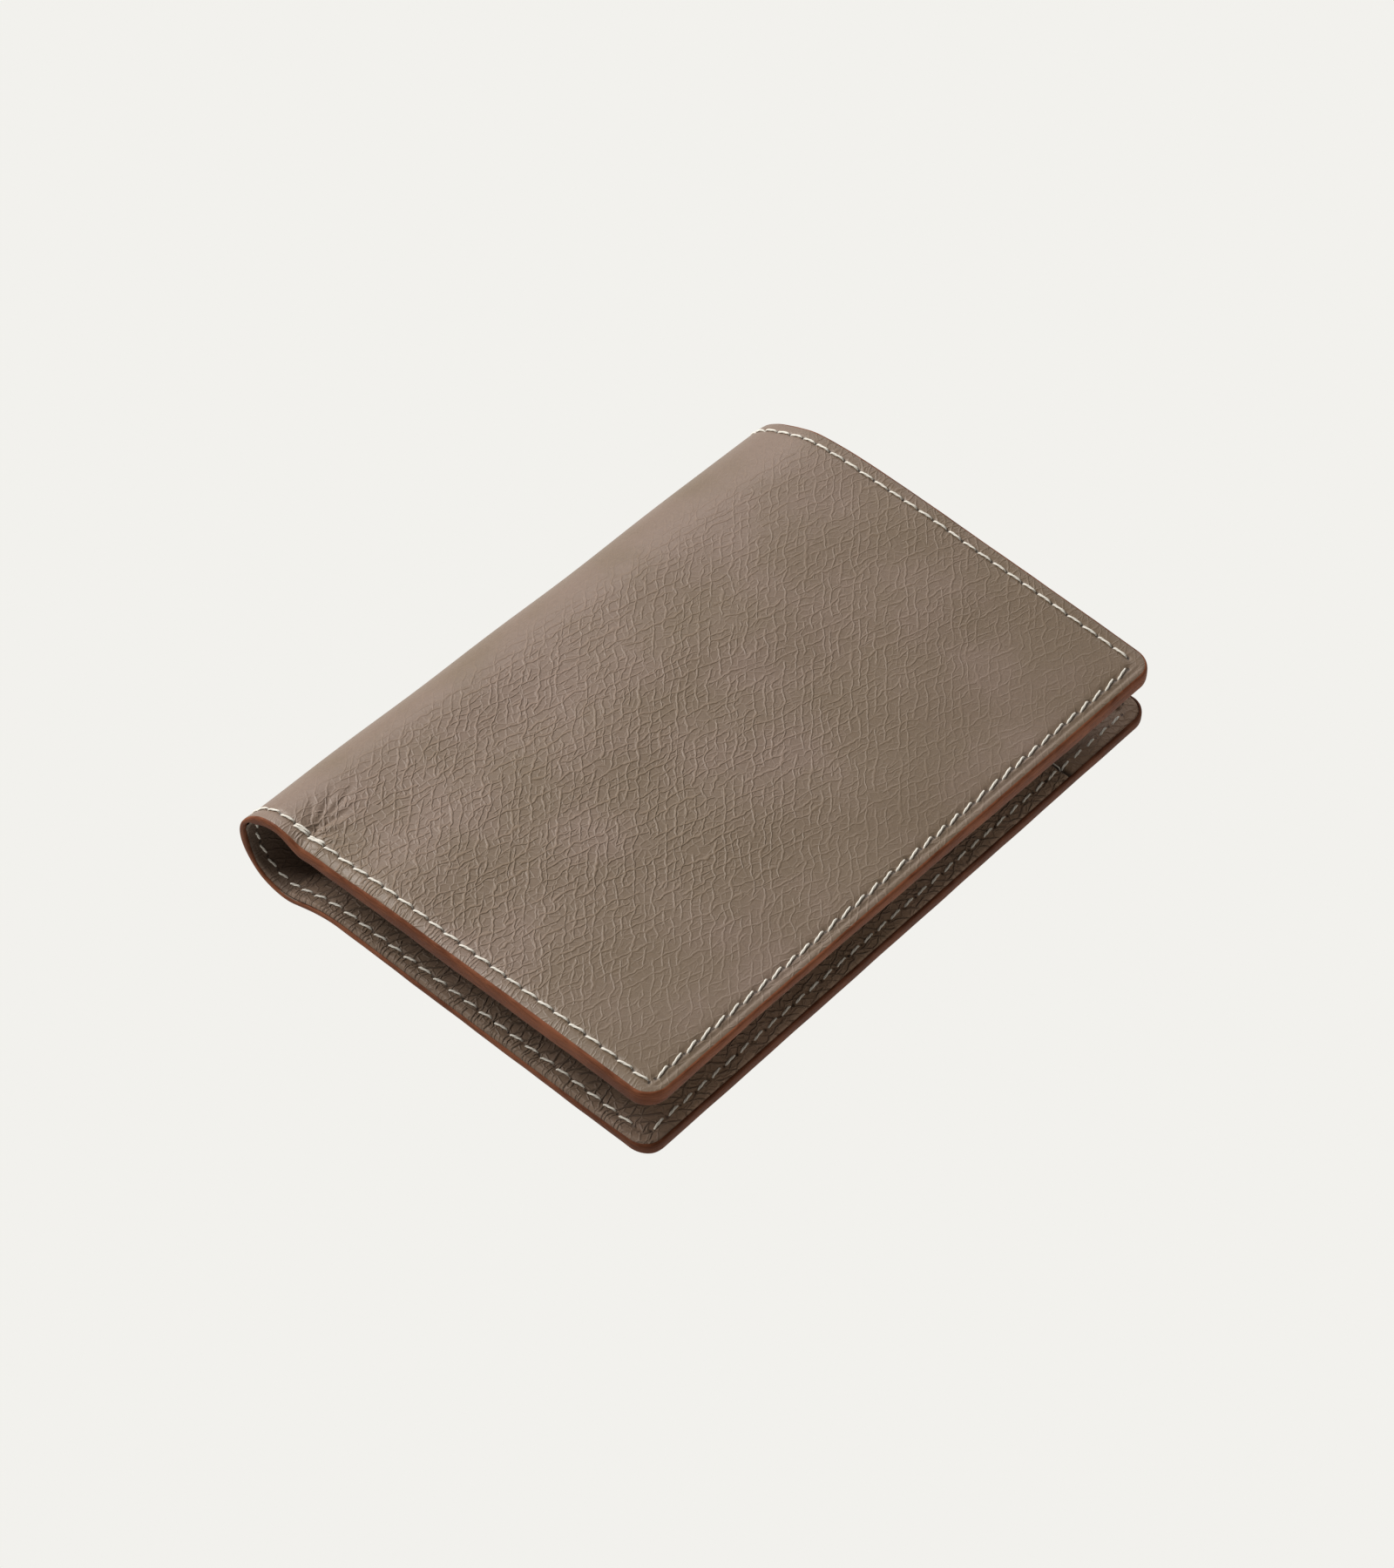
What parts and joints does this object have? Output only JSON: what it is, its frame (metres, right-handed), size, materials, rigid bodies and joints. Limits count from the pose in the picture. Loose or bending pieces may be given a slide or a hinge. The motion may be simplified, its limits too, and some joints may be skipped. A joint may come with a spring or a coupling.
{
  "type": "bifold wallet",
  "caption": "Vertical bifold wallet in grained taupe leather with a rolled spine, a pale saddle-stitched border, card slots inside the front cover and a slip pocket inside the back cover.",
  "frame": {"origin": "centre of the closed wallet's footprint, on the back cover's outer face", "axes": "+X from the rolled spine to the fore-edge, +Y along the spine towards the pocket mouths, +Z from the back cover to the front cover"},
  "size_m": [0.1046, 0.144, 0.0228],
  "materials": {
    "outer_leather": "taupe pebble-grained leather, satin, with burnished red-brown edges",
    "lining_leather": "smoother, darker taupe leather lining",
    "inner_leather": "taupe grained leather on the pocket sheets",
    "thread": "waxed cream linen thread, about 0.6 mm thick"
  },
  "bodies": {
    "back_cover": {"back_leather": "outer_leather", "back_lining": "lining_leather", "back_sleeve": "inner_leather", "back_outer_thread": "thread", "back_inner_thread": "thread"},
    "spine_1": {"spine_1_leather": "outer_leather", "spine_1_lining": "lining_leather", "sleeve_fold_strip": "inner_leather", "spine_1_near_outer_thread": "thread", "spine_1_near_inner_thread": "thread", "spine_1_far_outer_thread": "thread", "spine_1_far_inner_thread": "thread"},
    "spine_2": {"spine_2_leather": "outer_leather", "spine_2_lining": "lining_leather", "spine_2_near_outer_thread": "thread", "spine_2_near_inner_thread": "thread", "spine_2_far_outer_thread": "thread", "spine_2_far_inner_thread": "thread"},
    "spine_3": {"spine_3_leather": "outer_leather", "spine_3_lining": "lining_leather", "spine_3_near_outer_thread": "thread", "spine_3_near_inner_thread": "thread", "spine_3_far_outer_thread": "thread", "spine_3_far_inner_thread": "thread"},
    "spine_4": {"spine_4_leather": "outer_leather", "spine_4_lining": "lining_leather", "spine_4_near_outer_thread": "thread", "spine_4_near_inner_thread": "thread", "spine_4_far_outer_thread": "thread", "spine_4_far_inner_thread": "thread"},
    "spine_5": {"spine_5_leather": "outer_leather", "spine_5_lining": "lining_leather", "spine_5_near_outer_thread": "thread", "spine_5_near_inner_thread": "thread", "spine_5_far_outer_thread": "thread", "spine_5_far_inner_thread": "thread"},
    "front_cover": {"front_leather": "outer_leather", "front_lining": "lining_leather", "card_panel": "inner_leather", "card_slot_bottom": "inner_leather", "card_slot_middle": "inner_leather", "card_slot_top": "inner_leather", "front_outer_thread": "thread", "front_inner_thread": "thread"}
  },
  "joints": [
    {"name": "fold_1", "type": "hinge", "parent": "back_cover", "child": "spine_1", "pos_m": [-0.03177, 0, 0.00115], "axis": [0, -1, 0], "range_deg": [-28, 0]},
    {"name": "fold_2", "type": "hinge", "parent": "spine_1", "child": "spine_2", "pos_m": [-0.03985, 0, -0.00314], "axis": [0, -1, 0], "range_deg": [0, 41.61]},
    {"name": "fold_3", "type": "hinge", "parent": "spine_2", "child": "spine_3", "pos_m": [-0.04701, 0, -0.00141], "axis": [0, -1, 0], "range_deg": [0, 41.61]},
    {"name": "fold_4", "type": "hinge", "parent": "spine_3", "child": "spine_4", "pos_m": [-0.05122, 0, 0.00464], "axis": [0, -1, 0], "range_deg": [0, 41.61]},
    {"name": "fold_5", "type": "hinge", "parent": "spine_4", "child": "spine_5", "pos_m": [-0.05035, 0, 0.01196], "axis": [0, -1, 0], "range_deg": [0, 41.61]},
    {"name": "cover_fold", "type": "hinge", "parent": "spine_5", "child": "front_cover", "pos_m": [-0.04483, 0, 0.01685], "axis": [0, -1, 0], "range_deg": [0, 41.6]}
  ],
  "couplings": [
    {"joint": "fold_1", "follows": "cover_fold", "ratio": -0.67308},
    {"joint": "fold_2", "follows": "cover_fold", "ratio": 1},
    {"joint": "fold_3", "follows": "cover_fold", "ratio": 1},
    {"joint": "fold_4", "follows": "cover_fold", "ratio": 1},
    {"joint": "fold_5", "follows": "cover_fold", "ratio": 1}
  ]
}
